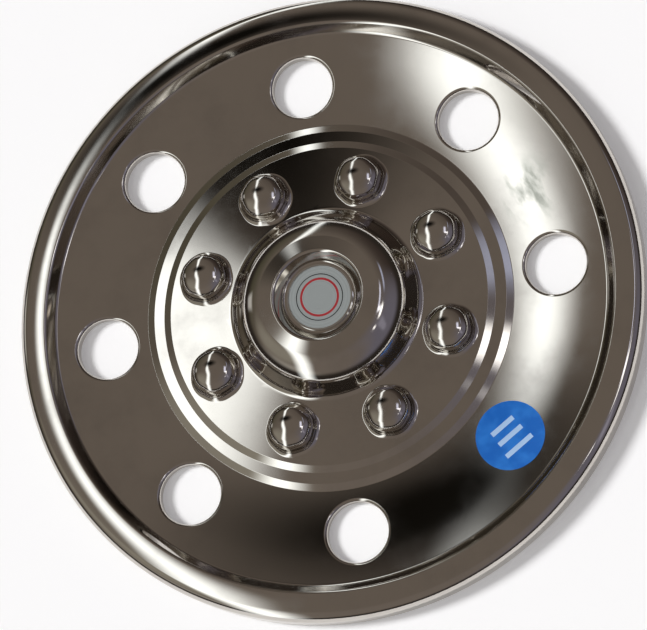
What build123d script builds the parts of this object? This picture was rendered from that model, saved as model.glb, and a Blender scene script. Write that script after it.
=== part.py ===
"""Pressed stainless wheel cover for an eight-stud 16 inch wheel, lying face up on its hem.

Millimetres. +Z is the wheel's axis, out of the face. The origin is on that axis at the level of the
hem's underside, and +X passes through the middle of a hand hole.
"""
import os
from collections import namedtuple
from math import cos, degrees, hypot, pi, radians, sin, tan

from build123d import *

# Sheet
sheet = 0.8

# Stud nut bulges
stud_count = 8
stud_circle_radius = 82.55
nut_flats = 28.5
nut_corner_rounding = 6.0
nut_dome_radius = 19.0
nut_rise = 14.7
nut_foot_rounding = 2.0

# Stud field: a shallow cone from the hub's foot down to the rings
hub_clearance = 3.6
ring_clearance = 2.5
stud_field_rise = 2.9

# Hub
hub_foot_rounding = 5.0
hub_wall_run = 11.2
hub_wall_rise = 21.0
hub_shoulder_rounding = 22.0
hub_top_rise = 3.0
recess_lip_rounding = 2.4
recess_wall_run = 5.0
recess_depth = 7.6
recess_floor_rounding = 1.6

# Badge in the hub's recess
badge_radius = 21.3
badge_clearance = 2.3
badge_thickness = 1.2
badge_rim_width = 1.1
badge_rim_height = 0.35

# Two bevelled rings round the stud field, with a flat land between them
ring_bevel_run = 4.5
ring_bevel_rise = 1.5
ring_land_run = 6.9
ring_land_rise = 0.5
ring_rounding = 1.0

# Hand holes with a turned-in lip, one between each two nuts
hand_hole_radius = 19.5
hand_hole_lip_rounding = 2.2
hand_hole_lip_depth = 4.8

# Dish that carries the hand holes
hole_to_ring = 6.3
hole_to_step = 11.1
dish_edge_height = 6.4
dish_drop = 0.6
dish_outer_rise = 3.9
dish_rounding = 360.0

# Step between the dish and the flange
step_run = 5.0
step_rise = 7.0
step_rounding = 2.6

# Outer flange: crown, rolled edge and in-turned hem
crown_run = 5.3
crown_drop = 0.2
crown_rounding = 46.0
roll_run = 13.0
roll_drop = 2.75
roll_rounding = 10.0
hem_width = 5.0
hem_bend = 1.6

# Round sticker over one hand hole
sticker_overlap = 2.7
sticker_thickness = 0.25
sticker_hole_index = 7

# Spring clips spot-welded behind the dish
clip_thickness = 0.6
clip_width = 16.0
clip_foot_length = 18.0
clip_bend_run = 3.8
clip_arm_run = 7.5
clip_grip_height = 3.6
clip_tip_return = 4.0
clip_tip_height = 1.2
clip_rounding = 1.4

# The skin's seam lies between the first hand hole and the first nut.
seam_turn = 9.5
# A rounded foot or lip starts this far beyond the skin, so that the two cross.
crossing = 0.03
# How far a cut runs out below the hem.
below = 2.0
# Level inside the filled skin from which a nut's bulge rises.
nut_root = 3.2
# The share of a straight stretch that the roundings at its two ends may take up.
most_rounded = 0.98

# Distances from the wheel's axis
nut_reach = nut_flats / 2 / cos(pi / 6) + nut_foot_rounding
hub_foot_radius = stud_circle_radius - nut_reach - hub_clearance
hub_shoulder_radius = hub_foot_radius - hub_wall_run
recess_floor_radius = badge_radius + badge_clearance
recess_lip_radius = recess_floor_radius + recess_wall_run
inner_ring_top_radius = stud_circle_radius + nut_reach + ring_clearance
inner_ring_foot_radius = inner_ring_top_radius + ring_bevel_run
outer_ring_top_radius = inner_ring_foot_radius + ring_land_run
outer_ring_foot_radius = outer_ring_top_radius + ring_bevel_run
hand_hole_reach = hand_hole_radius + hand_hole_lip_rounding
hand_hole_circle_radius = outer_ring_foot_radius + hole_to_ring + hand_hole_reach
step_foot_radius = hand_hole_circle_radius + hand_hole_reach + hole_to_step
step_top_radius = step_foot_radius + step_run
crown_radius = step_top_radius + crown_run
cover_radius = crown_radius + roll_run
sticker_radius = hand_hole_radius + sticker_overlap
clip_bend_radius = step_foot_radius + clip_bend_run
clip_foot_radius = clip_bend_radius - clip_foot_length
clip_grip_radius = clip_bend_radius + clip_arm_run
clip_tip_radius = clip_grip_radius - clip_tip_return

# Heights above the hem's underside
outer_ring_top_height = dish_edge_height + ring_bevel_rise
inner_ring_foot_height = outer_ring_top_height + ring_land_rise
inner_ring_top_height = inner_ring_foot_height + ring_bevel_rise
hub_foot_height = inner_ring_top_height + stud_field_rise
hub_shoulder_height = hub_foot_height + hub_wall_rise
recess_lip_height = hub_shoulder_height + hub_top_rise
recess_floor_height = recess_lip_height - recess_depth
stud_field_slope = stud_field_rise / (inner_ring_top_radius - hub_foot_radius)
stud_field_height = inner_ring_top_height + stud_field_slope * (inner_ring_top_radius - stud_circle_radius)
nut_top_height = stud_field_height + nut_rise
dish_low_height = dish_edge_height - dish_drop
hand_hole_lip_bottom = dish_low_height - hand_hole_lip_depth
step_foot_height = dish_low_height + dish_outer_rise
step_top_height = step_foot_height + step_rise
crown_height = step_top_height - crown_drop
roll_height = crown_height - roll_drop

hole_step = 360.0 / stud_count
stud_turn = hole_step / 2

# Stretches of the skin's corners
STUD_FIELD = slice(4, 6)
DISH = slice(8, 11)
UPWARD = (Align.CENTER, Align.CENTER, Align.MIN)

Corner = namedtuple("Corner", "radius height rounding")


def polar(radius, turn, height):
    """Point at a distance from the wheel's axis, turned from +X by some degrees."""
    return Vector(radius * cos(radians(turn)), radius * sin(radians(turn)), height)


def parallel(corners, distance):
    """Corners of the line that runs beside these at a distance, positive to the left of travel."""
    lines = []
    for start, end in zip(corners, corners[1:]):
        along_radius = end.radius - start.radius
        along_height = end.height - start.height
        length = hypot(along_radius, along_height)
        shift_radius = -along_height / length * distance
        shift_height = along_radius / length * distance
        from_radius = start.radius + shift_radius
        from_height = start.height + shift_height
        lines.append((from_radius, from_height, along_radius, along_height))
    first = lines[0]
    last = lines[-1]
    moved = [Corner(first[0], first[1], 0.0)]
    for corner, one, two in zip(corners[1:-1], lines, lines[1:]):
        cross = one[2] * two[3] - one[3] * two[2]
        share = ((two[0] - one[0]) * two[3] - (two[1] - one[1]) * two[2]) / cross
        rounding = corner.rounding - distance if cross > 0 else corner.rounding + distance
        moved.append(Corner(one[0] + share * one[2], one[1] + share * one[3], rounding))
    moved.append(Corner(last[0] + last[2], last[1] + last[3], 0.0))
    return moved


def turns(corners):
    """Half the angle between the two stretches that meet at each inner corner, in radians."""
    halves = []
    for before, corner, after in zip(corners, corners[1:], corners[2:]):
        back = Vector(before.radius - corner.radius, 0, before.height - corner.height)
        ahead = Vector(after.radius - corner.radius, 0, after.height - corner.height)
        halves.append(radians(back.get_angle(ahead)) / 2)
    return halves


def reaches(corners):
    """How far each corner's arc runs along its stretches, limited by the length that they have."""
    wanted = [0.0]
    for corner, half_angle in zip(corners[1:], turns(corners)):
        wanted.append(corner.rounding / tan(half_angle))
    wanted.append(0.0)
    scale = [1.0] * len(corners)
    for index, (one, two) in enumerate(zip(corners, corners[1:])):
        room = most_rounded * hypot(two.radius - one.radius, two.height - one.height)
        share = min(1.0, room / max(wanted[index] + wanted[index + 1], room))
        scale[index] = min(scale[index], share)
        scale[index + 1] = min(scale[index + 1], share)
    return [reach * share for reach, share in zip(wanted, scale)]


def rounded_edges(corners):
    """Lines through the corners in the XZ plane, with an arc of its own radius at each inner corner."""
    points = [Vector(corner.radius, 0, corner.height) for corner in corners]
    edges = []
    begin = points[0]
    arcs = zip(points, points[1:], points[2:], reaches(corners)[1:], turns(corners))
    for before, point, after, reach, half_angle in arcs:
        back = (before - point).normalized()
        ahead = (after - point).normalized()
        middle = reach * (1 - sin(half_angle)) / cos(half_angle)
        arc_start = point + back * reach
        arc_end = point + ahead * reach
        arc_middle = point + (back + ahead).normalized() * middle
        edges.append(Edge.make_line(begin, arc_start))
        edges.append(Edge.make_three_point_arc(arc_start, arc_middle, arc_end))
        begin = arc_end
    edges.append(Edge.make_line(begin, points[-1]))
    return edges


def skin_corners():
    """Outer face of the sheet from the wheel's axis out to the hem's inner edge."""
    return [
        Corner(0.0, recess_floor_height, 0.0),
        Corner(recess_floor_radius, recess_floor_height, recess_floor_rounding),
        Corner(recess_lip_radius, recess_lip_height, recess_lip_rounding),
        Corner(hub_shoulder_radius, hub_shoulder_height, hub_shoulder_rounding),
        Corner(hub_foot_radius, hub_foot_height, hub_foot_rounding),
        Corner(inner_ring_top_radius, inner_ring_top_height, ring_rounding),
        Corner(inner_ring_foot_radius, inner_ring_foot_height, ring_rounding),
        Corner(outer_ring_top_radius, outer_ring_top_height, ring_rounding),
        Corner(outer_ring_foot_radius, dish_edge_height, ring_rounding),
        Corner(hand_hole_circle_radius, dish_low_height, dish_rounding),
        Corner(step_foot_radius, step_foot_height, step_rounding),
        Corner(step_top_radius, step_top_height, step_rounding),
        Corner(crown_radius, crown_height, crown_rounding),
        Corner(cover_radius, roll_height, roll_rounding),
        Corner(cover_radius, 0.0, hem_bend),
        Corner(cover_radius - hem_width, 0.0, 0.0),
    ]


def under(corners, bottom, start, sweep):
    """Solid of revolution of all that lies under a stretch of skin, down to a flat bottom."""
    first = corners[0]
    last = corners[-1]
    border = [
        Vector(last.radius, 0, last.height),
        Vector(last.radius, 0, bottom),
        Vector(first.radius, 0, bottom),
        Vector(first.radius, 0, first.height),
    ]
    edges = rounded_edges(corners)
    for one, two in zip(border, border[1:]):
        if (two - one).length > 0:
            edges.append(Edge.make_line(one, two))
    return Rot(0, 0, start) * revolve(Face(Wire(edges)), Axis.Z, sweep)


def wedge_under(stretch, inset, bottom):
    """Sector about +X of what lies under one stretch of the skin, lowered by the inset."""
    return under(parallel(skin_corners(), -inset)[stretch], bottom, -hole_step, 2 * hole_step)


def rounded_rim(solid, beside, middle, reach, rounding):
    """Rounds the edges round a middle on the face that holds the point beside it."""
    face = min(solid.faces(), key=lambda each: each.distance_to(Vertex(beside)))
    rim = []
    for edge in face.edges():
        place = edge @ 0.5
        if hypot(place.X - middle.X, place.Y - middle.Y) < reach:
            rim.append(edge)
    return fillet(rim, rounding)


def nut_body(inset):
    """Hexagonal nut with soft corners under a spherical dome, smaller all round by the inset."""
    dome_middle = nut_top_height - nut_dome_radius
    outline = RegularPolygon(nut_flats / 2 - inset, 6, major_radius=False)
    outline = fillet(outline.vertices(), nut_corner_rounding - inset)
    prism = Pos(0, 0, dome_middle) * extrude(outline, nut_dome_radius)
    return prism & Pos(0, 0, dome_middle) * Sphere(nut_dome_radius - inset)


def nut_bulge(inset):
    """One nut on +X with its rounded foot, to add to the filled skin."""
    middle = Vector(stud_circle_radius, 0, 0)
    beside = polar(stud_circle_radius, stud_turn, stud_field_height - inset)
    field = wedge_under(STUD_FIELD, inset + crossing, nut_root)
    nut_on_field = field + Pos(middle) * nut_body(inset)
    bulge = rounded_rim(nut_on_field, beside, middle, nut_flats, nut_foot_rounding + inset)
    return bulge & Pos(middle) * Cylinder(nut_reach, 3 * nut_top_height)


def hand_hole(inset, bottom):
    """One bore on +X that flares into the skin with a rounded lip, to cut from the filled skin."""
    middle = Vector(hand_hole_circle_radius, 0, 0)
    beside = polar(hand_hole_circle_radius, stud_turn, dish_low_height - inset)
    dish = wedge_under(DISH, inset - crossing, -2 * below)
    bore = Pos(0, 0, bottom) * Cylinder(hand_hole_radius + inset, 3 * crown_height, align=UPWARD)
    bored = rounded_rim(
        dish - Pos(middle) * bore, beside, middle, 2 * hand_hole_radius, hand_hole_lip_rounding - inset
    )
    return (dish - bored) & Pos(middle) * Cylinder(hand_hole_reach + sheet, 3 * crown_height)


def pressed(inset, skin_bottom, hole_bottom):
    """One side of the sheet, filled down to a flat bottom, with its nuts and hand holes."""
    side = under(parallel(skin_corners(), -inset), skin_bottom, seam_turn, 360)
    nut = nut_bulge(inset)
    hole = hand_hole(inset, hole_bottom)
    side += [Rot(0, 0, stud_turn + hole_step * index) * nut for index in range(stud_count)]
    side -= [Rot(0, 0, hole_step * index) * hole for index in range(stud_count)]
    return side


def wheel_cover():
    """The whole pressing: what its outer side holds less what its inner side holds."""
    return pressed(0.0, 0.0, -3 * below) - pressed(sheet, -below, hand_hole_lip_bottom)


def centre_badge():
    """Flat disc with a raised rim, glued to the floor of the hub's recess."""
    seat = Pos(0, 0, recess_floor_height)
    disc = Cylinder(badge_radius, badge_thickness + badge_rim_height, align=UPWARD)
    field = Cylinder(badge_radius - badge_rim_width, badge_thickness, align=UPWARD)
    return seat * (disc - Pos(0, 0, badge_thickness) * field)


def valve_sticker():
    """Round film that lies on the dish and closes one hand hole."""
    layer = wedge_under(DISH, -sticker_thickness, 0.0) - wedge_under(DISH, 0.0, 0.0)
    film = layer & Pos(hand_hole_circle_radius, 0, 0) * Cylinder(sticker_radius, 3 * crown_height)
    return Rot(0, 0, hole_step * sticker_hole_index) * film


def retention_clip(turn):
    """Bent spring strip: a foot under the dish, an arm and a grip that points outwards."""
    slope = dish_outer_rise / (step_foot_radius - hand_hole_circle_radius)
    underside = dish_low_height - sheet * hypot(1.0, slope)
    foot_height = underside + slope * (clip_foot_radius - hand_hole_circle_radius)
    bend_height = underside + slope * (clip_bend_radius - hand_hole_circle_radius)
    upper = [
        Corner(clip_foot_radius, foot_height, 0.0),
        Corner(clip_bend_radius, bend_height, clip_rounding + clip_thickness),
        Corner(clip_grip_radius, clip_grip_height, clip_rounding + clip_thickness),
        Corner(clip_tip_radius, clip_tip_height, 0.0),
    ]
    lower = parallel(upper, -clip_thickness)
    edges = rounded_edges(upper) + rounded_edges(lower)
    for one, two in ((upper[0], lower[0]), (upper[-1], lower[-1])):
        from_point = Vector(one.radius, 0, one.height)
        to_point = Vector(two.radius, 0, two.height)
        edges.append(Edge.make_line(from_point, to_point))
    half_turn = degrees(clip_width / clip_foot_radius)
    ring = Rot(0, 0, -half_turn) * revolve(Face(Wire.combine(edges)[0]), Axis.Z, 2 * half_turn)
    strip = ring & Box(3 * cover_radius, clip_width, 3 * crown_height)
    return Rot(0, 0, turn) * strip


os.makedirs("parts", exist_ok=True)
export_step(wheel_cover(), "parts/wheel_cover.step")
export_step(centre_badge(), "parts/centre_badge.step")
export_step(valve_sticker(), "parts/valve_sticker.step")
for index in range(stud_count):
    clip = retention_clip(stud_turn + hole_step * index)
    export_step(clip, f"parts/retention_clip_{index + 1}.step")
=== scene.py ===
"""Looks of the pressed stainless wheel cover: its finishes, the badge and sticker print, studio and camera.

Metres, in the part's own frame: +Z is the wheel's axis out of the face, the origin lies on that axis at
the level of the hem's underside, and +X passes through the middle of a hand hole.
"""
import logging
import math
from abc import ABC, abstractmethod
from dataclasses import dataclass
from enum import Enum
from typing import Any, Optional

import bpy
import numpy as np
from mathutils import Matrix, Vector


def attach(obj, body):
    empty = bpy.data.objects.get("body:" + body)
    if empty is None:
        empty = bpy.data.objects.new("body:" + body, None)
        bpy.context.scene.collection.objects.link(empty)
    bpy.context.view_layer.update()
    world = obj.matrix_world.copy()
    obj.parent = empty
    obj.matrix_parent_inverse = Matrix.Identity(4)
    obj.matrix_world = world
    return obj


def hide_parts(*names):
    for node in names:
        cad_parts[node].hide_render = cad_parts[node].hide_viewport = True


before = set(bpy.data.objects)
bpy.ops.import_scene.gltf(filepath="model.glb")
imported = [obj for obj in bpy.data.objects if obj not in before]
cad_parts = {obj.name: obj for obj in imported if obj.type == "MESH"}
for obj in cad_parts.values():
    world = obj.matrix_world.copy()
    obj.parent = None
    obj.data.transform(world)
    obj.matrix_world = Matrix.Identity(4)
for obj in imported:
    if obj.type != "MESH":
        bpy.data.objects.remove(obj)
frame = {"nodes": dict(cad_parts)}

MM = 0.001
TINY = 1e-9
PICTURE_WIDTH_PX = 647
SENSOR_MM = 36.0
LOG = logging.getLogger("wheel_cover")

Colour = tuple[float, float, float, float]
Span = tuple[float, float]
Tree = bpy.types.NodeTree
Socket = bpy.types.NodeSocket
BLACK: Colour = (0.0, 0.0, 0.0, 1.0)
WHITE: Colour = (1.0, 1.0, 1.0, 1.0)
UNIT_SQUARE = np.array([(0.0, 0.0), (1.0, 0.0), (1.0, 1.0), (0.0, 1.0)])
SQUARE_FACE = [(0, 1, 2, 3)]


class Side(Enum):
    """Side of the sheet that a patch lies on, and so which way round its faces run."""

    FACE = "face"
    BACK = "back"


def to_linear(code: str) -> Colour:
    """Turn an sRGB hex colour into linear values, by the sRGB curve.

    Args:
        code: Colour such as "#5a534d".

    Returns:
        Linear red, green and blue, with an alpha of 1.
    """
    parts = [int(code[i:i + 2], 16) / 255 for i in (1, 3, 5)]
    red, green, blue = (v / 12.92 if v <= 0.04045 else ((v + 0.055) / 1.055) ** 2.4 for v in parts)
    return red, green, blue, 1.0


def add_node(tree: Tree, kind: str, links: Optional[dict] = None, **settings: Any) -> bpy.types.Node:
    """Add one node with its settings, socket values and links.

    Args:
        tree: Node tree that gets the node.
        kind: Blender's name of the node type.
        links: Input name or index, to a plain value or to an output socket.
        **settings: Attributes of the node itself.

    Returns:
        The new node.
    """
    node = tree.nodes.new(kind)
    for name, value in settings.items():
        setattr(node, name, value)
    for name, value in (links or {}).items():
        if isinstance(value, bpy.types.NodeSocket):
            tree.links.new(value, node.inputs[name])
        else:
            node.inputs[name].default_value = value
    return node


def new_material(name: str) -> tuple[bpy.types.Material, Tree, bpy.types.Node]:
    """Make an empty material with its output node.

    Args:
        name: The material's name.

    Returns:
        The material, its node tree and its output node.
    """
    material = bpy.data.materials.new(name)
    material.use_nodes = True
    material.node_tree.nodes.clear()
    output = add_node(material.node_tree, "ShaderNodeOutputMaterial")
    return material, material.node_tree, output


def coat(tree: Tree, output: bpy.types.Node, links: dict) -> None:
    """Add the surface shader with its values and links, and join it to the material's output."""
    shader = add_node(tree, "ShaderNodeBsdfPrincipled", links)
    tree.links.new(shader.outputs["BSDF"], output.inputs["Surface"])


def calculate(tree: Tree, operation: str, *values: Any) -> Socket:
    """Add a calculation with numbers or sockets, in the operation's own order."""
    return add_node(tree, "ShaderNodeMath", dict(enumerate(values)), operation=operation).outputs[0]


def measure(tree: Tree, operation: str, *vectors: Any) -> Socket:
    """Add a calculation with vectors that gives a number."""
    node = add_node(tree, "ShaderNodeVectorMath", dict(enumerate(vectors)), operation=operation)
    return node.outputs["Value"]


def split(tree: Tree, vector: Socket) -> Any:
    """Split a vector into sockets that are named X, Y and Z."""
    return add_node(tree, "ShaderNodeSeparateXYZ", {"Vector": vector}).outputs


def rescale(tree: Tree, value: Socket, span: Span, result: Span = (0.0, 1.0), soft: bool = False) -> Socket:
    """Carry a value from one span to another, held at its ends.

    Args:
        tree: Node tree that gets the node.
        value: What is carried over.
        span: Values where the change begins and ends.
        result: What they become.
        soft: True to ease in and out.

    Returns:
        The result's socket.
    """
    links = {"Value": value, "From Min": span[0], "From Max": span[1],
             "To Min": result[0], "To Max": result[1]}
    node = add_node(tree, "ShaderNodeMapRange", links, interpolation_type="SMOOTHSTEP" if soft else "LINEAR")
    return node.outputs["Result"]


def noise(tree: Tree, place: Socket, size_mm: float, detail: float, roughness: float = 0.5) -> Socket:
    """Add noise over the surface, with lumps of about the given size."""
    links = {"Vector": place, "Scale": 1 / (size_mm * MM), "Detail": detail, "Roughness": roughness}
    return add_node(tree, "ShaderNodeTexNoise", links).outputs["Fac"]


def bump(tree: Tree, height: Socket, depth_mm: float, strength: float) -> Socket:
    """Turn a height from 0 to 1 into the directions of a surface of that depth."""
    links = {"Height": height, "Distance": depth_mm * MM, "Strength": strength}
    return add_node(tree, "ShaderNodeBump", links).outputs["Normal"]


def mix_colour(tree: Tree, share: Socket, first: Any, second: Any) -> Socket:
    """Mix two colours, as sockets or linear values, by the share of the second."""
    return add_node(tree, "ShaderNodeMix", {0: share, 6: first, 7: second}, data_type="RGBA").outputs[2]


def ramp(tree: Tree, factor: Socket, stops: list[tuple[float, Colour]], step: bool = False) -> Socket:
    """Add a colour ramp.

    Args:
        tree: Node tree that gets the ramp.
        factor: What drives it, from 0 to 1.
        stops: Position and linear colour of each stop.
        step: True for hard edges, as print has.

    Returns:
        The ramp's colour output.
    """
    node = add_node(tree, "ShaderNodeValToRGB", {"Fac": factor})
    node.color_ramp.interpolation = "CONSTANT" if step else "EASE"
    for position, _ in stops[2:]:
        node.color_ramp.elements.new(position)
    for element, (position, colour) in zip(node.color_ramp.elements, sorted(stops)):
        element.position = position
        element.color = colour
    return node.outputs["Color"]


def tint(tree: Tree, factor: Socket, span: Span, first: str, second: str) -> Socket:
    """Shade from one hex colour to another over a span of the factor."""
    return ramp(tree, factor, [(span[0], to_linear(first)), (span[1], to_linear(second))])


def link_object(name: str, data: Any) -> bpy.types.Object:
    """Put a mesh, a lamp or a camera in the scene."""
    item = bpy.data.objects.new(name, data)
    bpy.context.scene.collection.objects.link(item)
    return item


@dataclass(frozen=True)
class PolishedStainless:
    """Pressed and mirror-polished stainless sheet, with its mill finish left on the back.

    The polish leaves a clear mirror with faint wiping haze, and the press leaves a slow waviness. One spot
    of the dish is smeared. Each span tells where in the noise, or in the tilt of the surface, a change
    begins and ends.
    """

    colour: str = "#cdc8c1"
    haze_colour: str = "#bdb8b2"
    face_roughness: float = 0.05
    haze_roughness: float = 0.13
    back_roughness: float = 0.34
    back_span: Span = (-0.1, -0.3)
    haze_size_mm: float = 38.0
    haze_span: Span = (0.45, 0.8)
    tint_span: Span = (0.4, 0.85)
    wave_size_mm: float = 30.0
    wave_depth_mm: float = 0.012
    smear_colour: str = "#aeafa6"
    smear_roughness: float = 0.2
    smear_middle_mm: tuple[float, float, float] = (136.0, 50.0, 6.2)
    smear_reach_mm: float = 30.0
    smear_core_mm: float = 6.0
    streak_mm: float = 9.0
    streak_stretch: float = 2.6
    streak_turn_deg: float = -68.0
    streak_span: Span = (0.48, 0.66)

    def smear(self, tree: Tree, place: Socket) -> Socket:
        """Mark the smear: streaks of stretched noise that fade out with the distance from its middle.

        Args:
            tree: Node tree that gets the nodes.
            place: Where the surface is, in metres.

        Returns:
            Share of the smear, from 0 to 1.
        """
        off = measure(tree, "DISTANCE", place, [value * MM for value in self.smear_middle_mm])
        near = rescale(tree, off, (self.smear_reach_mm * MM, self.smear_core_mm * MM), soft=True)
        turn = (0.0, 0.0, math.radians(self.streak_turn_deg))
        along = add_node(tree, "ShaderNodeMapping",
                         {"Vector": place, "Rotation": turn, "Scale": (self.streak_stretch, 1.0, 1.0)},
                         vector_type="TEXTURE")
        streaks = noise(tree, along.outputs["Vector"], self.streak_mm, detail=5.0)
        return calculate(tree, "MULTIPLY", near, rescale(tree, streaks, self.streak_span))

    def build(self) -> bpy.types.Material:
        """Make the material."""
        material, tree, output = new_material("mirror_polished_stainless")
        place = add_node(tree, "ShaderNodeTexCoord").outputs
        haze = noise(tree, place["Object"], self.haze_size_mm, detail=5.0, roughness=0.6)
        hazed = rescale(tree, haze, self.haze_span, (self.face_roughness, self.haze_roughness))
        back = rescale(tree, split(tree, place["Normal"])["Z"], self.back_span)
        smear = self.smear(tree, place["Object"])
        face = add_node(tree, "ShaderNodeMix", {0: smear, 2: hazed, 3: self.smear_roughness})
        roughness = add_node(tree, "ShaderNodeMix", {0: back, 2: face.outputs[0], 3: self.back_roughness})
        clean = tint(tree, haze, self.tint_span, self.colour, self.haze_colour)
        wave = noise(tree, place["Object"], self.wave_size_mm, detail=1.0)
        coat(tree, output, {
            "Base Color": mix_colour(tree, smear, clean, to_linear(self.smear_colour)),
            "Metallic": 1.0,
            "Roughness": roughness.outputs[0],
            "Normal": bump(tree, wave, self.wave_depth_mm, strength=1.0),
        })
        return material


@dataclass(frozen=True)
class SpringSteel:
    """Plain spring strip with a dull, finely mottled zinc coat."""

    light: str = "#a5a8aa"
    dark: str = "#74777a"
    tint_span: Span = (0.3, 0.7)
    roughness: float = 0.36
    grain_mm: float = 0.9
    grain_depth_mm: float = 0.02

    def build(self) -> bpy.types.Material:
        """Make the material."""
        material, tree, output = new_material("zinc_coated_spring_steel")
        place = add_node(tree, "ShaderNodeTexCoord").outputs
        grain = noise(tree, place["Object"], self.grain_mm, detail=4.0)
        coat(tree, output, {
            "Base Color": tint(tree, grain, self.tint_span, self.dark, self.light),
            "Metallic": 1.0,
            "Roughness": self.roughness,
            "Normal": bump(tree, grain, self.grain_depth_mm, strength=0.6),
        })
        return material


@dataclass(frozen=True)
class SatinAluminium:
    """Satin aluminium disc under a thin coat, brushed in circles, with two printed rings and a bright rim.

    The rim begins at a share of the field's radius, just inside its edge.
    """

    light: str = "#b2b8b8"
    dark: str = "#989f9f"
    tint_span: Span = (0.25, 0.75)
    rim_colour: str = "#dadcdb"
    ink: str = "#1d1d1e"
    red_ink: str = "#b3333a"
    roughness: float = 0.3
    rim_roughness: float = 0.08
    metallic: float = 0.35
    rim_metallic: float = 1.0
    brush_mm: float = 0.45
    brush_depth_mm: float = 0.01
    field_radius_mm: float = 20.2
    rim_from: float = 0.999
    ink_ring_mm: Span = (14.6, 15.3)
    red_ring_mm: Span = (11.2, 12.6)

    def build(self) -> bpy.types.Material:
        """Make the material: the brushing and the print are both functions of the distance from the axis."""
        material, tree, output = new_material("satin_anodised_aluminium")
        place = add_node(tree, "ShaderNodeTexCoord").outputs["Object"]
        flat = add_node(tree, "ShaderNodeVectorMath", {0: place, 1: (1, 1, 0)}, operation="MULTIPLY")
        radius = measure(tree, "LENGTH", flat.outputs["Vector"])
        brushed = add_node(tree, "ShaderNodeTexNoise",
                           {"W": radius, "Scale": 1 / (self.brush_mm * MM), "Detail": 3.0},
                           noise_dimensions="1D").outputs["Fac"]
        share = calculate(tree, "DIVIDE", radius, self.field_radius_mm * MM)
        colour = tint(tree, brushed, self.tint_span, self.dark, self.light)
        for ring_mm, ink in ((self.red_ring_mm, self.red_ink), (self.ink_ring_mm, self.ink)):
            low, high = (edge / self.field_radius_mm for edge in ring_mm)
            printed = ramp(tree, share, [(0.0, BLACK), (low, WHITE), (high, BLACK)], step=True)
            colour = mix_colour(tree, printed, colour, to_linear(ink))
        on_rim = calculate(tree, "GREATER_THAN", share, self.rim_from)
        coat(tree, output, {
            "Base Color": mix_colour(tree, on_rim, colour, to_linear(self.rim_colour)),
            "Metallic": rescale(tree, on_rim, (0.0, 1.0), (self.metallic, self.rim_metallic)),
            "Roughness": rescale(tree, on_rim, (0.0, 1.0), (self.roughness, self.rim_roughness)),
            "Normal": bump(tree, brushed, self.brush_depth_mm, strength=0.4),
        })
        return material


@dataclass(frozen=True)
class BlueVinyl:
    """Gloss self-adhesive vinyl film, printed blue with three plain pale bars, faintly puckered.

    The bars show only where the film faces upwards by more than printed_above.
    """

    light: str = "#2878d0"
    dark: str = "#1463bd"
    tint_span: Span = (0.35, 0.75)
    bar_colour: str = "#a9c9ee"
    roughness: float = 0.24
    pucker_mm: float = 11.0
    pucker_depth_mm: float = 0.2
    printed_above: float = 0.5
    middle_mm: tuple[float, float] = (104.23, -104.23)
    bar_turn_deg: float = 31.7
    bar_height_mm: float = 3.3
    bars_mm: tuple[tuple[float, float], ...] = ((-9.0, 21.0), (0.0, 18.5), (8.0, 17.4))

    def bar(self, tree: Tree, local: Any, across_mm: float, length_mm: float) -> Socket:
        """Mark one bar: 1 where a place is within half its length and half its height of its middle.

        Args:
            tree: Node tree that gets the nodes.
            local: Sockets of the place on the sticker, X along and Y across the bars.
            across_mm: Where the bar's middle line runs.
            length_mm: Its length.

        Returns:
            The mark's output socket.
        """
        along = calculate(tree, "ABSOLUTE", local["X"])
        along = calculate(tree, "LESS_THAN", along, length_mm / 2 * MM)
        across = calculate(tree, "SUBTRACT", local["Y"], across_mm * MM)
        across = calculate(tree, "ABSOLUTE", across)
        across = calculate(tree, "LESS_THAN", across, self.bar_height_mm / 2 * MM)
        return calculate(tree, "MULTIPLY", along, across)

    def build(self) -> bpy.types.Material:
        """Make the material."""
        material, tree, output = new_material("blue_printed_vinyl")
        place = add_node(tree, "ShaderNodeTexCoord").outputs
        pucker = noise(tree, place["Object"], self.pucker_mm, detail=2.0)
        turned = add_node(tree, "ShaderNodeMapping",
                          {"Vector": place["Object"],
                           "Location": (self.middle_mm[0] * MM, self.middle_mm[1] * MM, 0.0),
                           "Rotation": (0.0, 0.0, math.radians(self.bar_turn_deg))}, vector_type="TEXTURE")
        local = split(tree, turned.outputs["Vector"])
        printed = calculate(tree, "GREATER_THAN", split(tree, place["Normal"])["Z"], self.printed_above)
        colour = tint(tree, pucker, self.tint_span, self.dark, self.light)
        for across_mm, length_mm in self.bars_mm:
            mark = calculate(tree, "MULTIPLY", self.bar(tree, local, across_mm, length_mm), printed)
            colour = mix_colour(tree, mark, colour, to_linear(self.bar_colour))
        coat(tree, output, {
            "Base Color": colour,
            "Roughness": self.roughness,
            "IOR": 1.5,
            "Normal": bump(tree, pucker, self.pucker_depth_mm, strength=0.4),
        })
        return material


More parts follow.
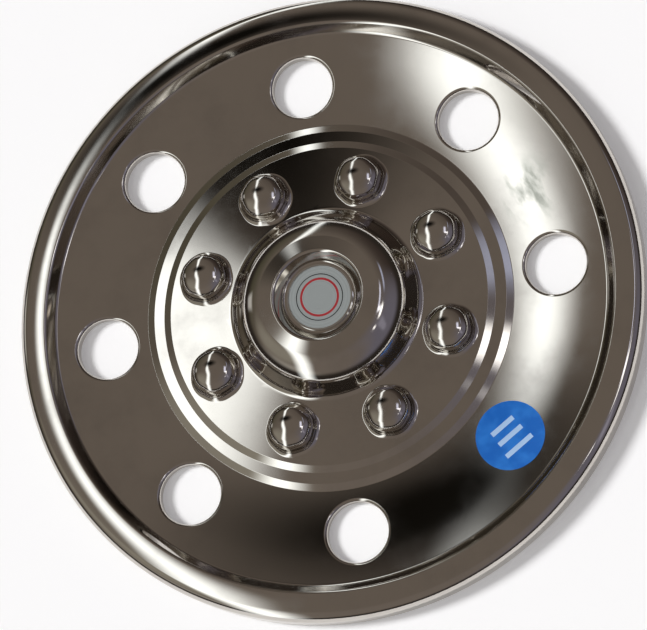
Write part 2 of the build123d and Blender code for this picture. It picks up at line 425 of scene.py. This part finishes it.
@dataclass
class ViewPoint:
    """Camera at the photograph's viewing angle, with a long lens and no shift."""

    azimuth_deg: float = 37.31
    elevation_deg: float = 69.19
    roll_deg: float = 46.27
    distance_m: float = 2.8476
    focal_px: float = 4500.0
    aim_right_mm: float = -5.3
    aim_up_mm: float = -3.8
    far_end_m: float = 100.0

    def axes(self) -> tuple[np.ndarray, np.ndarray, np.ndarray]:
        """Work out the picture's own axes in the part's frame.

        Returns:
            Unit vectors to the picture's right, to its top and towards the camera.
        """
        a, e, roll = (math.radians(v) for v in (self.azimuth_deg, self.elevation_deg, self.roll_deg))
        back = np.array([math.sin(a) * math.cos(e), -math.cos(a) * math.cos(e), math.sin(e)])
        level = np.array([math.cos(a), math.sin(a), 0.0])
        upright = np.cross(back, level)
        up = upright * math.cos(roll) + level * math.sin(roll)
        return np.cross(up, back), up, back

    def mirror_axes(self) -> tuple[np.ndarray, np.ndarray, np.ndarray]:
        """Work out what a flat face of the cover mirrors towards the camera.

        Returns:
            Unit vectors to the right, up and along the mirrored line of sight.
        """
        right, _, back = self.axes()
        along = back * np.array([-1.0, -1.0, 1.0])
        side = right - along * (right @ along)
        side /= np.linalg.norm(side)
        return side, np.cross(along, side), along

    def mirrored(self, right_deg: np.ndarray, up_deg: np.ndarray) -> np.ndarray:
        """Find directions at angles from the mirrored line of sight, even in every direction from it.

        Args:
            right_deg: Angles to the right.
            up_deg: Angles up.

        Returns:
            Unit vectors, in one more axis.
        """
        side, top, along = self.mirror_axes()
        away = np.radians(np.hypot(right_deg, up_deg))
        heading = np.arctan2(up_deg, right_deg)
        return (np.cos(away)[..., None] * along + (np.sin(away) * np.cos(heading))[..., None] * side
                + (np.sin(away) * np.sin(heading))[..., None] * top)

    def build(self) -> bpy.types.Object:
        """Make the camera and give it to the scene."""
        right, up, back = self.axes()
        lens = bpy.data.cameras.new("photo_view")
        lens.sensor_width = SENSOR_MM
        lens.lens = self.focal_px / PICTURE_WIDTH_PX * SENSOR_MM
        lens.clip_end = self.far_end_m
        camera = link_object("photo_view", lens)
        aim = (right * self.aim_right_mm + up * self.aim_up_mm) * MM
        turn = Matrix(np.column_stack([right, up, back]).tolist()).to_4x4()
        camera.matrix_world = Matrix.Translation(Vector(aim + back * self.distance_m)) @ turn
        bpy.context.scene.camera = camera
        return camera


@dataclass(frozen=True)
class Corner:
    """A corner of the sheet's profile: distance from the axis, height and the radius that rounds it."""

    radius: float
    height: float
    rounding: float = 0.0


@dataclass
class Grid:
    """A patch of the sheet: rows of points in millimetres, with the direction that each one faces.

    Where the light is turned another way than the sheet itself, through gives the sheet's own direction.
    """

    points: np.ndarray
    facing: np.ndarray
    through: Optional[np.ndarray] = None

    def back(self, sheet: float) -> "Grid":
        """Give the same patch on the sheet's back: every second row, moved inwards by the thickness."""
        through = self.facing if self.through is None else self.through
        return Grid((self.points - sheet * through)[::2], -through[::2])

    def turned(self, angle: float) -> "Grid":
        """Give the same patch turned about the wheel's axis by an angle in radians."""
        c, s = math.cos(angle), math.sin(angle)
        turn = np.array([[c, s, 0.0], [-s, c, 0.0], [0.0, 0.0, 1.0]])
        through = None if self.through is None else self.through @ turn
        return Grid(self.points @ turn, self.facing @ turn, through)

    def triangles(self, side: Side) -> np.ndarray:
        """Split each square between neighbouring rows and columns into two triangles.

        Args:
            side: Side of the sheet; faces on the back are turned round.

        Returns:
            Point numbers, three to a triangle.
        """
        rows, columns = self.points.shape[:2]
        first = (np.arange(rows - 1)[:, None] * columns + np.arange(columns - 1)).ravel()
        square = np.stack([first, first + columns, first + columns + 1, first + 1], axis=1)
        halves = np.concatenate([square[:, [0, 1, 2]], square[:, [0, 2, 3]]])
        return halves if side is Side.FACE else halves[:, ::-1]


def unit(vectors: np.ndarray) -> np.ndarray:
    """Scale the vectors in the last axis to a length of 1."""
    return vectors / np.linalg.norm(vectors, axis=-1, keepdims=True)


def spatial(flat: np.ndarray, height: Any) -> np.ndarray:
    """Join flat places or directions and their heights in the last axis."""
    column = np.broadcast_to(np.asarray(height)[..., None], flat.shape[:-1] + (1,))
    return np.concatenate([flat, column], axis=-1)


def shares(rows: int) -> np.ndarray:
    """Divide the way from 0 to 1 evenly, as rows that broadcast over columns of points."""
    return np.linspace(0.0, 1.0, rows)[:, None, None]


@dataclass
class PressedCover:
    """The pressed sheet as one closed fine skin, in millimetres.

    The profile turns about the axis. Where the stud field has its nuts and the dish its hand holes, each
    sector is a patch of rows that run from the nut's top or the hole's lip out to the sector's border.
    The nuts are a little rounder and the flange a little flatter than the solid's, by up to 1.6 mm. The dish
    has the solid's form but the light directions of a steeper bowl: bowl_tilts are degrees at bowl_radii.

    Arcs of the profile take up at most arc_share of a straight, and their steps grow with arc_fineness.
    Profile rows within row_gap of a band's end are left out. Points join that fall in the same cell.
    """

    sheet: float = 0.8
    sectors: int = 8
    sector_steps: int = 32
    border_steps: int = 16
    dome_rows: int = 7
    edge_rows: int = 11
    foot_rows: int = 7
    field_rows: int = 6
    lip_rows: int = 8
    dish_rows: int = 9
    arc_share: float = 0.98
    arc_fineness: float = 1.5
    fewest_arc_steps: int = 4
    row_gap: float = 0.01
    cells_per_mm: float = 5000.0
    cell_shift: float = 0.37
    stud_circle: float = 82.55
    nut_flats: float = 28.5
    nut_corner: float = 11.5
    nut_dome: float = 34.0
    nut_top: float = 26.01
    nut_edge: float = 5.0
    nut_foot: float = 3.6
    hole_circle: float = 147.4
    hole_radius: float = 19.5
    hole_lip: float = 2.2
    hole_bottom: float = 1.0
    field_from: float = 63.2
    field_to: float = 103.3
    dish_from: float = 119.7
    dish_to: float = 178.8
    bowl_radii: tuple[float, ...] = (121.0, 140.0, 165.0, 178.0)
    bowl_tilts: tuple[float, ...] = (5.4, 7.2, 9.7, 10.5)
    corners: tuple[Corner, ...] = (
        Corner(0.0, 29.2), Corner(23.6, 29.2, 1.6), Corner(28.6, 36.8, 2.4), Corner(49.3, 33.8, 22.0),
        Corner(60.5, 12.8, 5.0), Corner(103.5, 9.9, 1.0), Corner(108.0, 8.4, 1.0), Corner(114.9, 7.9, 1.0),
        Corner(119.4, 6.4, 1.0), Corner(147.4, 5.8, 360.0), Corner(180.2, 9.7, 2.6), Corner(185.2, 16.7, 2.6),
        Corner(192.0, 16.5, 110.0), Corner(203.44, 14.9, 8.0), Corner(203.44, 0.0, 1.6), Corner(198.5, 0.0),
    )

    def profile(self) -> np.ndarray:
        """Walk along the profile: straight to each corner's arc, then round the arc in even turns.

        Returns:
            Rows of radius, height, and the radius and height parts of the direction that the face looks.
        """
        place = np.array([(c.radius, c.height) for c in self.corners])
        run = place[1:] - place[:-1]
        length = np.linalg.norm(run, axis=1)
        heading = np.unwrap(np.arctan2(run[:, 1], run[:, 0]))
        bend = np.diff(heading)
        half = np.tan(np.abs(bend) / 2)
        reach = np.array([c.rounding for c in self.corners])
        reach[1:-1] *= half
        share = np.minimum(1.0, self.arc_share * length / np.maximum(reach[:-1] + reach[1:], TINY))
        reach *= np.minimum(np.append(share, 1.0), np.insert(share, 0, 1.0))
        rows = [[[place[0, 0], place[0, 1], heading[0]]]]
        for corner, before, turn, tangent, length_back in zip(place[1:-1], heading, bend, half, reach[1:-1]):
            arc = length_back / tangent
            half_steps = math.ceil(self.arc_fineness * abs(turn) * math.sqrt(arc))
            steps = max(self.fewest_arc_steps, 2 * half_steps)
            angle = before + turn * np.linspace(0.0, 1.0, steps + 1)
            start = corner - length_back * np.array([math.cos(before), math.sin(before)])
            bow = np.stack([np.sin(angle) - math.sin(before), math.cos(before) - np.cos(angle)], axis=1)
            rows.append(np.column_stack([start + math.copysign(arc, turn) * bow, angle]))
        rows.append([[place[-1, 0], place[-1, 1], heading[-1]]])
        walk = np.concatenate(rows)
        return np.column_stack([walk[:, :2], -np.sin(walk[:, 2]), np.cos(walk[:, 2])])

    def on_face(self, flat: np.ndarray) -> tuple[np.ndarray, np.ndarray]:
        """Look up the turned profile at flat places on the cover's face.

        Args:
            flat: Places as x and y in the last axis.

        Returns:
            The points there and the directions that the face looks.
        """
        walk = self.profile()
        walk = walk[:int(np.argmax(walk[:, 0])) + 1]
        radius = np.linalg.norm(flat, axis=-1)
        height, lean = (np.interp(radius, walk[:, 0], walk[:, column]) for column in (1, 2))
        outwards = flat / np.maximum(radius, TINY)[..., None]
        return spatial(flat, height), spatial(outwards * lean[..., None], np.sqrt(1 - lean ** 2))

    def bowl_facing(self, flat: np.ndarray) -> np.ndarray:
        """Find the light directions of the dish: towards the axis by a tilt that grows with the radius.

        Args:
            flat: Places on the dish as x and y in the last axis.

        Returns:
            Unit vectors.
        """
        radius = np.linalg.norm(flat, axis=-1)
        tilt = np.radians(np.interp(radius, self.bowl_radii, self.bowl_tilts))
        return spatial(-np.sin(tilt)[..., None] * flat / radius[..., None], np.cos(tilt))

    def turned_band(self, low: float, high: float) -> Grid:
        """Turn the stretch of the profile between two radii once about the axis.

        Args:
            low: Radius where the band begins.
            high: Radius where it ends, or infinity for the hem's edge.

        Returns:
            The band, with an odd number of rows.
        """
        walk = self.profile()
        ends = []
        for radius in (low, high):
            point, facing = self.on_face(np.array([[min(radius, self.dish_to), 0.0]]))
            ends.append([[radius, point[0, 2], facing[0, 0], facing[0, 2]]])
        inside = walk[(walk[:, 0] > low + self.row_gap) & (walk[:, 0] < high - self.row_gap)]
        band = np.concatenate([ends[0], inside] + ([] if math.isinf(high) else [ends[1]]))
        if len(band) % 2 == 0:
            band = np.insert(band, 1, (band[0] + band[1]) / 2, axis=0)
        angle = np.linspace(0.0, math.tau, self.sectors * self.sector_steps + 1)
        around = np.stack([np.cos(angle), np.sin(angle)], axis=1)
        points = spatial(band[:, None, None, 0] * around, band[:, None, 1])
        return Grid(points, unit(spatial(band[:, None, None, 2] * around, band[:, None, 3])))

    def border(self, low: float, high: float) -> np.ndarray:
        """Walk once round a sector about +X: along its outer arc, in, back along its inner arc and out.

        Args:
            low: Radius of the inner arc.
            high: Radius of the outer arc.

        Returns:
            Flat places, the last the same as the first.
        """
        side = math.pi / self.sectors
        sweep = np.linspace(-side, side, self.sector_steps + 1)
        inwards = np.linspace(high, low, self.border_steps + 1)
        radius = np.concatenate([np.full(len(sweep) - 1, high), inwards[:-1], np.full(len(sweep) - 1, low),
                                 inwards[::-1]])
        angle = np.concatenate([sweep[:-1], np.full(len(inwards) - 1, side), sweep[:0:-1],
                                np.full(len(inwards), -side)])
        return np.stack([radius * np.cos(angle), radius * np.sin(angle)], axis=1)

    def nut_outline(self, heading: np.ndarray) -> tuple[np.ndarray, np.ndarray]:
        """Find the hexagon with rounded corners: straight flats, and arcs about points inside the corners.

        Args:
            heading: Angles about the nut's middle, from the line away from the wheel's axis.

        Returns:
            Distances from the middle, and the angles that the nut's wall faces.
        """
        sixth = math.pi / 3
        off_corner = (heading + sixth / 2) % sixth - sixth / 2
        apothem = self.nut_flats / 2
        arc_middle = (apothem - self.nut_corner) / math.cos(sixth / 2)
        touch = math.atan2(self.nut_corner * math.sin(sixth / 2),
                           arc_middle + self.nut_corner * math.cos(sixth / 2))
        flat = apothem / np.cos(sixth / 2 - np.abs(off_corner))
        arc = arc_middle * np.cos(off_corner) + np.sqrt(
            self.nut_corner ** 2 - (arc_middle * np.sin(off_corner)) ** 2)
        on_arc = np.abs(off_corner) < touch
        distance = np.where(on_arc, arc, flat)
        swing = np.arctan2(arc * np.sin(off_corner), arc * np.cos(off_corner) - arc_middle)
        swing = np.where(on_arc, swing, np.sign(off_corner) * sixth / 2)
        return distance, heading - off_corner + swing

    def nut_sector(self) -> Grid:
        """Press the nut about +X: a domed top, a soft edge, an upright wall, a hollow foot and the field."""
        middle = np.array([self.stud_circle, 0.0])
        border = self.border(self.field_from, self.field_to)
        heading = np.arctan2(*(border - middle).T[::-1])
        distance, wall_angle = self.nut_outline(heading)
        outwards = np.stack([np.cos(heading), np.sin(heading)], axis=1)
        wall = np.stack([np.cos(wall_angle), np.sin(wall_angle)], axis=1)
        centre = np.array([self.stud_circle, 0.0, self.nut_top - self.nut_dome])

        across = shares(self.dome_rows) * (distance - self.nut_edge)[:, None] * outwards
        rise = np.sqrt(self.nut_dome ** 2 - np.sum(across ** 2, axis=-1))
        dome = spatial(across, rise)

        edge = spatial(distance[:, None] * outwards, np.sqrt(self.nut_dome ** 2 - distance ** 2))
        below = edge - np.array([0.0, 0.0, self.nut_edge])
        t = shares(self.edge_rows)[1:]
        soft = (1 - t) ** 2 * dome[-1] + 2 * t * (1 - t) * edge + t ** 2 * below
        along = (1 - t) * (edge - dome[-1]) + t * (below - edge)
        level = np.linalg.norm(along[..., :2], axis=-1)
        soft_facing = unit(spatial(-along[..., 2:] * unit((1 - t) * outwards + t * wall), level))

        angle = math.pi / 2 * shares(self.foot_rows)
        reach = middle + distance[:, None] * outwards + self.nut_foot * (1 - np.cos(angle)) * wall
        ground, ground_facing = self.on_face(reach)
        foot = ground + spatial(np.zeros_like(reach), self.nut_foot * (1 - np.sin(angle[..., 0])))
        foot_facing = unit(np.cos(angle) * spatial(wall, 0.0) + np.sin(angle) * ground_facing)

        t = shares(self.field_rows)[1:]
        field_points, field_facing = self.on_face((1 - t) * reach[-1] + t * border)
        points = np.concatenate([centre + dome, centre + soft, foot, field_points])
        return Grid(points, np.concatenate([dome / self.nut_dome, soft_facing, foot_facing, field_facing]))

    def hole_sector(self) -> Grid:
        """Press the hand hole about +X: an upright wall, a rounded lip and the dish round it."""
        middle = np.array([self.hole_circle, 0.0])
        border = self.border(self.dish_from, self.dish_to)
        outwards = unit(border - middle)
        bottom = spatial(middle + self.hole_radius * outwards, self.hole_bottom)[None]

        angle = math.pi / 2 * shares(self.lip_rows)[::-1]
        reach = middle + (self.hole_radius + self.hole_lip * (1 - np.sin(angle))) * outwards
        ground, ground_facing = self.on_face(reach)
        lip = ground - spatial(np.zeros_like(reach), self.hole_lip * (1 - np.cos(angle[..., 0])))

        t = shares(self.dish_rows)[1:]
        dish = (1 - t) * reach[-1] + t * border
        dish_points, dish_facing = self.on_face(dish)
        wall = -spatial(outwards, 0.0)[None]
        facing, through = (np.concatenate([wall, unit(np.sin(angle) * wall + np.cos(angle) * near), far])
                           for near, far in ((self.bowl_facing(reach), self.bowl_facing(dish)),
                                             (ground_facing, dish_facing)))
        return Grid(np.concatenate([bottom, lip, dish_points]), facing, through)

    def skin(self) -> list[tuple[Grid, Side]]:
        """Lay out all patches with their sides of the sheet, and the cut edges that close them."""
        step = math.tau / self.sectors
        nut, hole = self.nut_sector(), self.hole_sector()
        face = [self.turned_band(0.0, self.field_from), self.turned_band(self.field_to, self.dish_from),
                self.turned_band(self.dish_to, math.inf)]
        hem, hem_back = face[-1].points[-1], face[-1].back(self.sheet).points[-1]
        face += [nut.turned(step * (index + 0.5)) for index in range(self.sectors)]
        holes = [hole.turned(step * index) for index in range(self.sectors)]
        patches = [(patch, Side.FACE) for patch in face + holes]
        patches += [(patch.back(self.sheet), Side.BACK) for patch in face + holes]
        inwards = -unit(hem * np.array([1.0, 1.0, 0.0]))
        patches.append((Grid(np.stack([hem, hem_back]), np.stack([inwards, inwards])), Side.FACE))
        for patch in holes:
            lip = np.stack([patch.back(self.sheet).points[0], patch.points[0]])
            patches.append((Grid(lip, np.broadcast_to([0.0, 0.0, -1.0], lip.shape)), Side.FACE))
        return patches

    def build(self) -> bpy.types.Object:
        """Join the patches where their points meet, lit by their own directions, to stand for the solid."""
        points, facing, faces, count = [], [], [], 0
        for patch, side in self.skin():
            points.append(patch.points.reshape(-1, 3))
            facing.append(patch.facing.reshape(-1, 3))
            faces.append(patch.triangles(side) + count)
            count += len(points[-1])
        points, facing, faces = (np.concatenate(parts) for parts in (points, facing, faces))
        cells = np.floor(points * self.cells_per_mm + self.cell_shift)
        _, first, joined = np.unique(cells, axis=0, return_index=True, return_inverse=True)
        merged = joined.ravel()[faces]
        whole = (merged != np.roll(merged, 1, axis=1)).all(axis=1)
        mesh = bpy.data.meshes.new("pressed_cover")
        mesh.from_pydata(points[first] * MM, [], merged[whole])
        mesh.polygons.foreach_set("use_smooth", np.ones(len(mesh.polygons), dtype=bool))
        mesh.normals_split_custom_set(facing[faces[whole]].reshape(-1, 3))
        mesh.materials.append(PolishedStainless().build())
        cover = link_object("pressed_cover", mesh)
        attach(cover, "root")
        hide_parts("wheel_cover")
        return cover


def glow_material(name: str, colour: str, strength: float, softness: float, axes: str) -> bpy.types.Material:
    """Make a light that is even in the middle and fades out towards the edges of its unit square.

    Args:
        name: The material's name.
        colour: Colour of the light.
        strength: Its strength in the middle.
        softness: Share of the width over which it fades, up to 0.5.
        axes: "X" to fade at the sides, or "XY" to fade at the ends as well.

    Returns:
        The material.
    """
    material, tree, output = new_material(name)
    place = split(tree, add_node(tree, "ShaderNodeTexCoord").outputs["UV"])
    level: Any = strength
    for axis in axes:
        off = calculate(tree, "ABSOLUTE", calculate(tree, "SUBTRACT", place[axis], 0.5))
        fade = rescale(tree, off, (0.5, 0.5 - softness), soft=True)
        level = calculate(tree, "MULTIPLY", fade, level)
    glow = add_node(tree, "ShaderNodeEmission", {"Color": to_linear(colour), "Strength": level})
    clear = add_node(tree, "ShaderNodeBsdfTransparent")
    both = add_node(tree, "ShaderNodeAddShader", {0: glow.outputs[0], 1: clear.outputs[0]})
    tree.links.new(both.outputs["Shader"], output.inputs["Surface"])
    return material


def stage_panel(name: str, points: np.ndarray, faces: Any, place: np.ndarray,
                material: bpy.types.Material) -> bpy.types.Object:
    """Make a studio surface that the camera sees only in reflections.

    Args:
        name: The object's name.
        points: Its points in metres.
        faces: Point numbers of each face.
        place: Where each point lies in the unit square.
        material: Its material.

    Returns:
        The surface, marked as stage.
    """
    mesh = bpy.data.meshes.new(name)
    mesh.from_pydata(points, [], faces)
    corner = np.empty(len(mesh.loops), dtype=np.int32)
    mesh.loops.foreach_get("vertex_index", corner)
    mesh.uv_layers.new(name="panel").data.foreach_set("uv", place[corner].astype(np.float32).ravel())
    mesh.materials.append(material)
    panel = link_object(name, mesh)
    panel.visible_camera = False
    return panel


@dataclass(frozen=True)
class Ribbon:
    """A long lit strip whose middle line and half widths are given as angles of the mirrored view.

    The line's kinks are rounded by a moving average over smoothing steps.
    """

    name: str
    path_deg: tuple[tuple[float, float, float], ...]
    colour: str = "#ffffff"
    strength: float = 5.0
    softness: float = 0.4
    distance_m: float = 12.0
    steps: int = 96
    columns: int = 5
    smoothing: int = 9

    def points(self, view: ViewPoint) -> np.ndarray:
        """Carry the strip's width along its middle line: each row is the line plus shares of the half width.

        Args:
            view: Camera whose mirrored line of sight is the zero of the angles.

        Returns:
            Rows of points, from one long edge to the other.
        """
        path = np.array(self.path_deg)
        t = np.linspace(0.0, len(path) - 1.0, self.steps)
        bent = (np.interp(t, np.arange(len(path)), path[:, column]) for column in range(3))
        padded = (np.pad(values, self.smoothing // 2, mode="edge") for values in bent)
        window = np.full(self.smoothing, 1 / self.smoothing)
        right, up, half = (np.convolve(values, window, mode="valid") for values in padded)
        along = unit(np.stack([np.gradient(right), np.gradient(up)], axis=1))
        share = np.linspace(-1.0, 1.0, self.columns)
        right = right[:, None] + share * (half * along[:, 1])[:, None]
        up = up[:, None] - share * (half * along[:, 0])[:, None]
        return view.mirrored(right, up) * self.distance_m

    def build(self, view: ViewPoint) -> bpy.types.Object:
        """Make the strip where the camera's mirrored view has it, with light that fades at its long edges."""
        points = self.points(view)
        faces = Grid(points, points).triangles(Side.FACE)
        place = np.stack(np.meshgrid(np.linspace(0, 1, self.columns), np.linspace(0, 1, self.steps)), axis=-1)
        glow = glow_material(self.name, self.colour, self.strength, self.softness, "X")
        return stage_panel(self.name, points.reshape(-1, 3), faces, place.reshape(-1, 2), glow)


@dataclass(frozen=True)
class Panel(ABC):
    """A flat studio panel, placed by the angles at which flat faces of the cover would mirror it."""

    name: str
    right_deg: float
    up_deg: float
    width_deg: float
    height_deg: float
    turn_deg: float = 0.0
    distance_m: float = 12.0

    @abstractmethod
    def material(self) -> bpy.types.Material:
        """Make what the panel is made of."""

    def corners(self, view: ViewPoint) -> np.ndarray:
        """Place the panel's corners: its middle plus or minus half its sides, turned in the mirrored view.

        Args:
            view: Camera whose mirrored line of sight is the zero of the angles.

        Returns:
            Four corner points.
        """
        turn = math.radians(self.turn_deg)
        wide, tall = ((UNIT_SQUARE - 0.5) * (self.width_deg, self.height_deg)).T
        right = self.right_deg + wide * math.cos(turn) - tall * math.sin(turn)
        up = self.up_deg + wide * math.sin(turn) + tall * math.cos(turn)
        return view.mirrored(right, up) * self.distance_m

    def build(self, view: ViewPoint) -> bpy.types.Object:
        """Make the panel where the camera's mirrored view has it."""
        return stage_panel(self.name, self.corners(view), SQUARE_FACE, UNIT_SQUARE, self.material())


@dataclass(frozen=True)
class SoftBox(Panel):
    """A lit panel whose light falls off towards its edges."""

    colour: str = "#ffffff"
    strength: float = 4.0
    softness: float = 0.35

    def material(self) -> bpy.types.Material:
        """Make the panel's light."""
        return glow_material(self.name, self.colour, self.strength, self.softness, "XY")


@dataclass(frozen=True)
class DarkFlag(Panel):
    """A black flag that keeps part of the strip from the cover, and clears from its middle to its edges."""

    distance_m: float = 10.0
    shade: str = "#110f0c"
    clear_span: Span = (0.5, 0.08)

    def material(self) -> bpy.types.Material:
        """Make the flag's cloth: black by the distance from the middle of the unit square."""
        material, tree, output = new_material(self.name)
        place = add_node(tree, "ShaderNodeTexCoord").outputs
        off = measure(tree, "DISTANCE", place["UV"], (0.5, 0.5, 0.0))
        solid = rescale(tree, off, self.clear_span, soft=True)
        clear = add_node(tree, "ShaderNodeBsdfTransparent")
        black = add_node(tree, "ShaderNodeEmission", {"Color": to_linear(self.shade), "Strength": 1.0})
        both = add_node(tree, "ShaderNodeMixShader", {0: solid, 1: clear.outputs[0], 2: black.outputs[0]})
        tree.links.new(both.outputs["Shader"], output.inputs["Surface"])
        return material


@dataclass(frozen=True)
class Tone:
    """A soft area of the room's walls: where its middle is mirrored, how far it reaches, and its colour."""

    right_deg: float
    up_deg: float
    inner_deg: float
    outer_deg: float
    colour: str


@dataclass
class Studio:
    """Pale floor, dim warm room with darkness low down, a soft fill light, and lit and dark panels.

    The fill comes from a mix of the picture's right, its top and the way to the camera.
    """

    floor_colour: str = "#f4f4f5"
    floor_side_m: float = 80.0
    floor_gap_mm: float = 0.2
    floor_roughness: float = 0.9
    floor_glow: float = 0.2
    fill_strength: float = 2.7
    fill_spread_deg: float = 16.0
    fill_from: tuple[float, float, float] = (-0.85, 0.2, 0.4)
    room_colour: str = "#756c64"
    skirting_colour: str = "#332e2a"
    skirting_deg: Span = (10.0, 27.0)
    tones: tuple[Tone, ...] = (
        Tone(60.0, 60.0, 10.0, 75.0, "#3f3632"),
        Tone(-55.0, 45.0, 10.0, 60.0, "#524f40"),
        Tone(65.0, -45.0, 20.0, 62.0, "#75727f"),
        Tone(0.0, -60.0, 5.0, 45.0, "#7d746d"),
        Tone(-72.0, -58.0, 8.0, 42.0, "#b9b5ad"),
        Tone(-30.0, -24.0, 4.0, 26.0, "#9a958a"),
    )
    flags: tuple[DarkFlag, ...] = (DarkFlag("dark_flag", -4.0, 11.3, 34.0, 17.5),)
    strips: tuple[Ribbon, ...] = (
        Ribbon("strip_light", ((-5.0, 95.0, 4.0), (-4.0, 50.0, 4.0), (-5.0, 25.0, 4.0), (-8.0, 13.0, 2.0),
                               (-10.0, 5.0, 4.2), (-10.2, -2.0, 5.8), (-8.5, -10.0, 5.6), (-10.5, -18.0, 5.8),
                               (-15.5, -31.0, 7.5), (-24.0, -50.0, 11.0), (-40.0, -72.0, 14.0),
                               (-62.0, -90.0, 16.0)), colour="#f5fcff", strength=1.9, softness=0.5),
    )
    panels: tuple[SoftBox, ...] = (
        SoftBox("side_window", 105.0, -45.0, 9.0, 34.0, turn_deg=-12.0, colour="#e6ebff", strength=2.5),
        SoftBox("side_blind", 52.0, -30.0, 40.0, 12.0, turn_deg=-35.0, colour="#c9c8dc", strength=0.25),
        SoftBox("cross_window", 27.0, -4.0, 6.0, 16.0, colour="#dfe4ff", strength=1.3),
        SoftBox("cross_sill", 30.0, -11.0, 12.0, 4.5, turn_deg=-12.0, colour="#f2f4ff", strength=2.2),
        SoftBox("bar_window_high", 38.0, 8.0, 7.0, 24.0, turn_deg=12.0, colour="#b9c4e6", strength=0.8),
        SoftBox("bar_window_low", 36.8, -14.0, 8.0, 13.0, turn_deg=-20.0, strength=2.4),
        SoftBox("bar_window_far", 34.0, -26.0, 8.0, 4.0, turn_deg=-36.0, strength=1.8),
        SoftBox("small_window", -48.0, 12.0, 24.0, 14.0, turn_deg=-20.0, strength=0.5),
        SoftBox("high_window", -24.0, 92.0, 12.0, 16.0, strength=2.5),
    )

    def floor(self) -> bpy.types.Object:
        """Lay a large flat floor just under the hem, with a glow where it is seen, also in mirrors."""
        mesh = bpy.data.meshes.new("floor")
        corners = spatial((UNIT_SQUARE - 0.5) * self.floor_side_m, -self.floor_gap_mm * MM)
        mesh.from_pydata(corners, [], SQUARE_FACE)
        material, tree, output = new_material("pale_floor")
        path = add_node(tree, "ShaderNodeLightPath").outputs
        seen = calculate(tree, "ADD", path["Is Camera Ray"], path["Is Glossy Ray"])
        seen = calculate(tree, "ADD", seen, path["Is Transmission Ray"])
        coat(tree, output, {
            "Base Color": to_linear(self.floor_colour),
            "Roughness": self.floor_roughness,
            "Emission Color": WHITE,
            "Emission Strength": calculate(tree, "MULTIPLY", seen, self.floor_glow),
        })
        mesh.materials.append(material)
        floor = link_object("floor", mesh)
        return floor

    def room(self, view: ViewPoint) -> None:
        """Fill the world with a dim warm grey, with tones placed by the camera and darkness low down."""
        world = bpy.data.worlds.new("dim_room")
        world.use_nodes = True
        tree = world.node_tree
        tree.nodes.clear()
        output = add_node(tree, "ShaderNodeOutputWorld")
        place = add_node(tree, "ShaderNodeTexCoord").outputs["Generated"]
        colour: Any = to_linear(self.room_colour)
        for tone in self.tones:
            towards = view.mirrored(np.array(tone.right_deg), np.array(tone.up_deg))
            near = measure(tree, "DOT_PRODUCT", place, towards.tolist())
            outer, inner = (math.cos(math.radians(angle)) for angle in (tone.outer_deg, tone.inner_deg))
            colour = mix_colour(tree, rescale(tree, near, (outer, inner), soft=True), colour,
                                to_linear(tone.colour))
        low, high = (math.sin(math.radians(angle)) for angle in self.skirting_deg)
        share = rescale(tree, split(tree, place)["Z"], (high, low), soft=True)
        colour = mix_colour(tree, share, colour, to_linear(self.skirting_colour))
        air = add_node(tree, "ShaderNodeBackground", {"Color": colour, "Strength": 1.0})
        tree.links.new(air.outputs["Background"], output.inputs["Surface"])
        bpy.context.scene.world = world

    def fill(self, view: ViewPoint) -> None:
        """Light matt surfaces to a plain level from the picture's upper left, unseen in the mirror."""
        lamp = bpy.data.lights.new("soft_fill", "SUN")
        lamp.energy = self.fill_strength
        lamp.angle = math.radians(self.fill_spread_deg)
        from_side = Vector(np.array(self.fill_from) @ np.stack(view.axes()))
        fill = link_object("soft_fill", lamp)
        fill.matrix_world = from_side.to_track_quat("Z", "Y").to_matrix().to_4x4()
        fill.visible_glossy = False

    def build(self, view: ViewPoint) -> None:
        """Make the floor, the room, the fill light, the flag, the strip and the panels for one camera."""
        self.floor()
        self.room(view)
        self.fill(view)
        for item in self.flags + self.strips + self.panels:
            item.build(view)
            LOG.info("studio has %s", item.name)


@dataclass
class Fittings:
    """The solids that are kept as they are: the badge, the sticker and the clips behind the dish."""

    nodes: dict[str, bpy.types.Object]

    def dress(self) -> None:
        """Give each solid its finish."""
        spring = SpringSteel().build()
        special = {"centre_badge": SatinAluminium().build(), "valve_sticker": BlueVinyl().build()}
        for name, solid in self.nodes.items():
            if name == "wheel_cover":
                continue
            solid.data.materials.clear()
            solid.data.materials.append(special.get(name, spring))
            LOG.info("dressed %s", name)


def main() -> None:
    """Build the scene in order and note the size of the finished model."""
    logging.basicConfig(level=logging.INFO)
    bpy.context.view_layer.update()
    bpy.context.scene.view_settings.view_transform = "Standard"
    view = ViewPoint()
    view.build()
    cover = PressedCover().build()
    LOG.info("%s has %d faces", cover.name, len(cover.data.polygons))
    Fittings(frame["nodes"]).dress()
    Studio().build(view)


if __name__ == "__main__":
    main()
